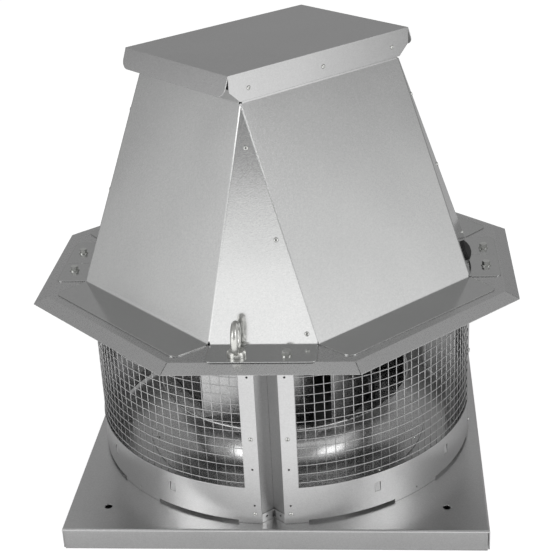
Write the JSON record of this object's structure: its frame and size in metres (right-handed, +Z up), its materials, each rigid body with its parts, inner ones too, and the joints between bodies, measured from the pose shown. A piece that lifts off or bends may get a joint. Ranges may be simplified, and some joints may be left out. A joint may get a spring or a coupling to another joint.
{
  "type": "roof exhaust fan",
  "caption": "Square-based roof exhaust fan: galvanised tray, round mesh guard, motor plate with backward-curved impeller, folded tapering hood and flat cap.",
  "frame": {"origin": "centre of the square tray, on the plane of the lower edges of its folded rim", "axes": "+Z up along the impeller axis, -Y towards the front post and lifting eye, +X to the right panel with the cable grommet"},
  "size_m": [0.6896, 0.6896, 0.648],
  "materials": {
    "galvanised_tray": "hot-dip galvanised sheet, fine spangle",
    "galvanised_guard": "hot-dip galvanised sheet, fine spangle",
    "galvanised_post": "hot-dip galvanised sheet, fine spangle",
    "galvanised_plate": "hot-dip galvanised sheet, fine spangle",
    "galvanised_hood": "hot-dip galvanised sheet, fine spangle",
    "galvanised_cap": "hot-dip galvanised sheet, fine spangle",
    "mesh_wire": "galvanised welded wire",
    "spun_zinc_steel": "galvanised steel, spun",
    "forged_zinc_steel": "bright zinc plated forging",
    "zinc_fastener": "bright zinc plated",
    "black_rubber": "moulded rubber",
    "turned_steel": "turned steel",
    "black_plastic": "moulded plastic",
    "grey_motor_enamel": "grey enamel"
  },
  "bodies": {
    "housing": {"base_plate": "galvanised_tray", "cable_grommet": "black_rubber", "cap": "galvanised_cap", "cap_rivets": "zinc_fastener", "guard_frame_back_left": "galvanised_guard", "guard_frame_back_right": "galvanised_guard", "guard_frame_front_left": "galvanised_guard", "guard_frame_front_right": "galvanised_guard", "guard_mesh_back_left": "mesh_wire", "guard_mesh_back_right": "mesh_wire", "guard_mesh_front_left": "mesh_wire", "guard_mesh_front_right": "mesh_wire", "guard_rivets": "zinc_fastener", "hood_bolts": "zinc_fastener", "hood_rivets": "zinc_fastener", "hood_sheet_left_back": "galvanised_hood", "hood_sheet_left_front": "galvanised_hood", "hood_sheet_right_back": "galvanised_hood", "hood_sheet_right_front": "galvanised_hood", "inlet_nozzle": "spun_zinc_steel", "lifting_eye_back": "forged_zinc_steel", "lifting_eye_front": "forged_zinc_steel", "motor_bearings": "turned_steel", "motor_bolts": "zinc_fastener", "motor_fan_cowl": "grey_motor_enamel", "motor_flange_shield": "grey_motor_enamel", "motor_nuts": "zinc_fastener", "motor_plate": "galvanised_plate", "motor_rear_shield": "grey_motor_enamel", "motor_stator": "grey_motor_enamel", "nozzle_rivets": "zinc_fastener", "post_back_left_side": "galvanised_post", "post_back_right_side": "galvanised_post", "post_foot_back": "galvanised_guard", "post_foot_front": "galvanised_guard", "post_foot_left": "galvanised_guard", "post_foot_right": "galvanised_guard", "post_front_left_side": "galvanised_post", "post_front_right_side": "galvanised_post", "post_left_back_side": "galvanised_post", "post_left_front_side": "galvanised_post", "post_right_back_side": "galvanised_post", "post_right_front_side": "galvanised_post", "post_rivets": "zinc_fastener", "terminal_box": "black_plastic", "vent_bars": "galvanised_cap"},
    "rotor": {"cooling_fan": "black_plastic", "hub_rivets": "zinc_fastener", "hub_screw": "zinc_fastener", "impeller_back_plate": "spun_zinc_steel", "impeller_blade_1": "spun_zinc_steel", "impeller_blade_2": "spun_zinc_steel", "impeller_blade_3": "spun_zinc_steel", "impeller_blade_4": "spun_zinc_steel", "impeller_blade_5": "spun_zinc_steel", "impeller_blade_6": "spun_zinc_steel", "impeller_hub": "turned_steel", "impeller_shroud": "spun_zinc_steel", "motor_rotor": "turned_steel"}
  },
  "joints": [
    {"name": "impeller_spin", "type": "hinge", "parent": "housing", "child": "rotor", "pos_m": [0, 0, 0.25], "axis": [0, 0, 1], "continuous": true}
  ]
}
